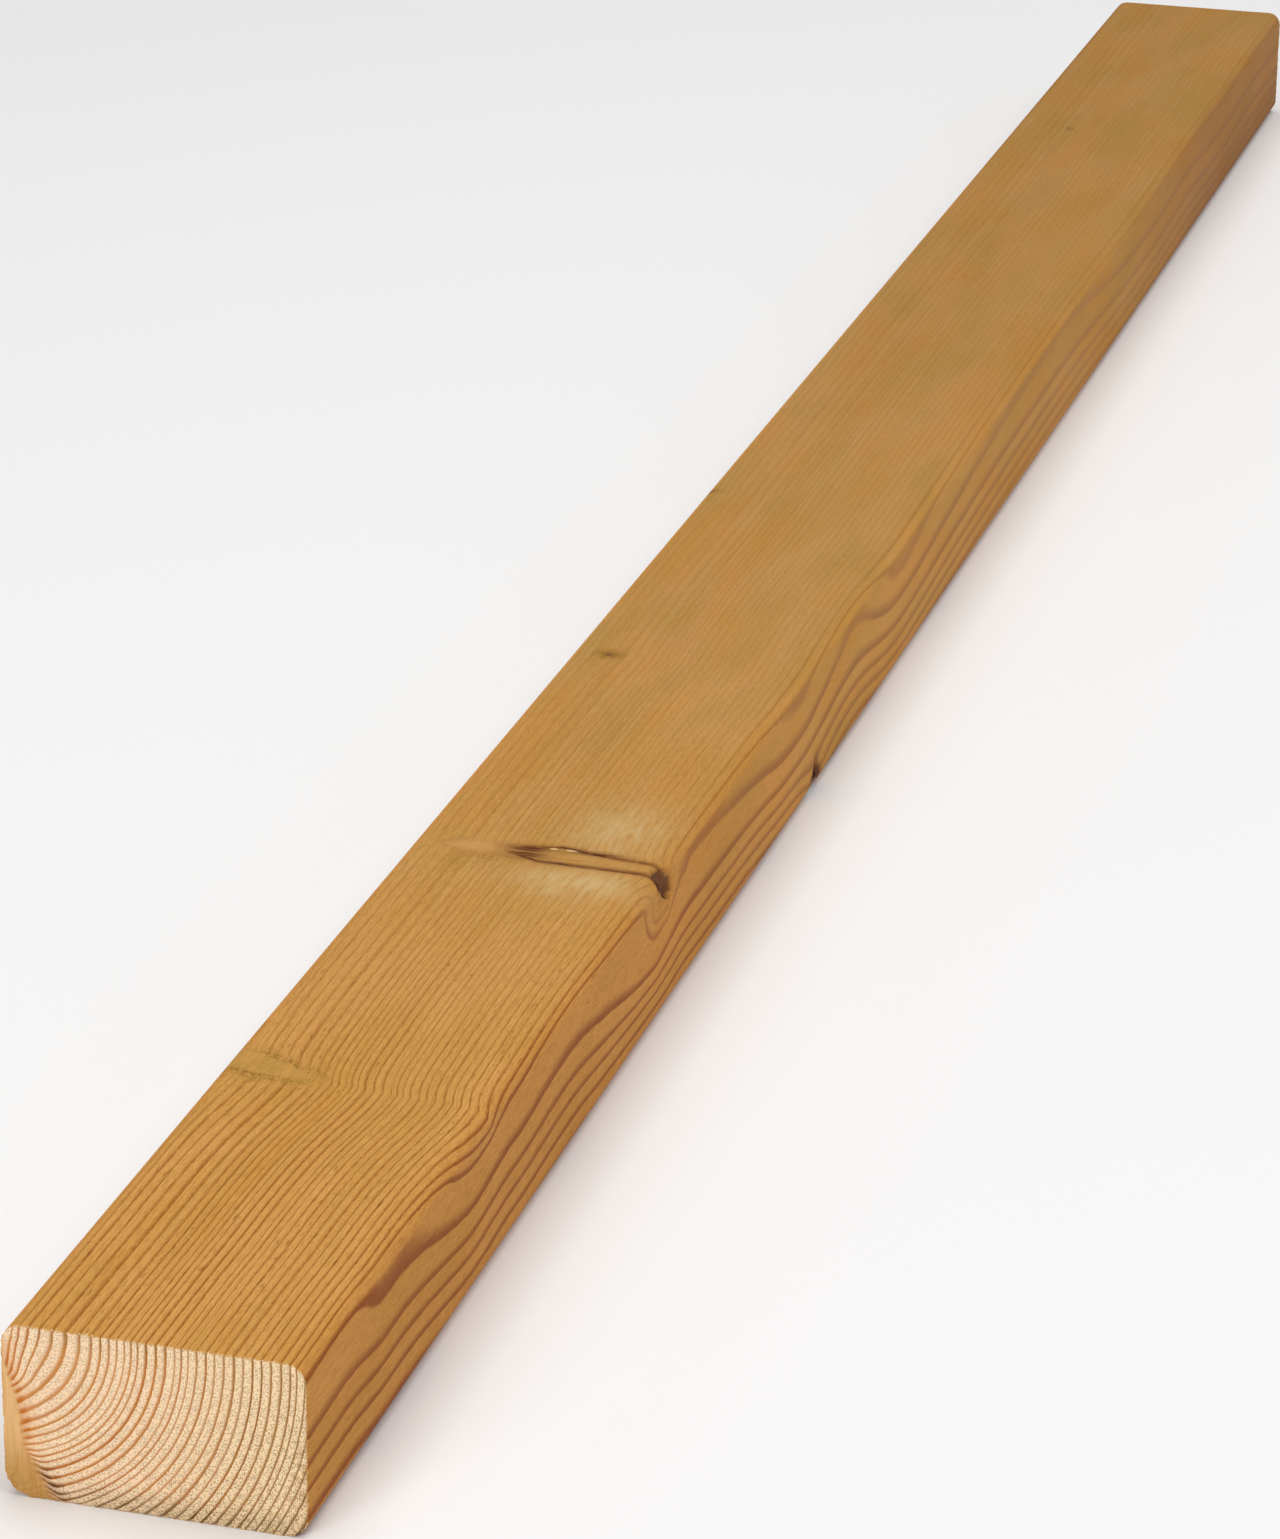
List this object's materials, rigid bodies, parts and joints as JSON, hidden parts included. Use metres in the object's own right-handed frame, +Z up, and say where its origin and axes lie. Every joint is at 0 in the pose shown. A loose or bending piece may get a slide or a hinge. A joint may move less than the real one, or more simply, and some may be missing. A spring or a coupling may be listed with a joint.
{
  "type": "timber plank",
  "caption": "Straight planed softwood plank of rectangular section with eased arrises, square-cut ends and a spike knot, for framing, decking joists and battens.",
  "frame": {"origin": "middle of the broad face that the plank rests on", "axes": "+Y along the length, +X across the width, +Z up through the thickness"},
  "size_m": [0.1, 1.8, 0.06],
  "materials": {
    "treated_pine": "satin"
  },
  "bodies": {
    "root": {"plank": "treated_pine"}
  },
  "joints": []
}
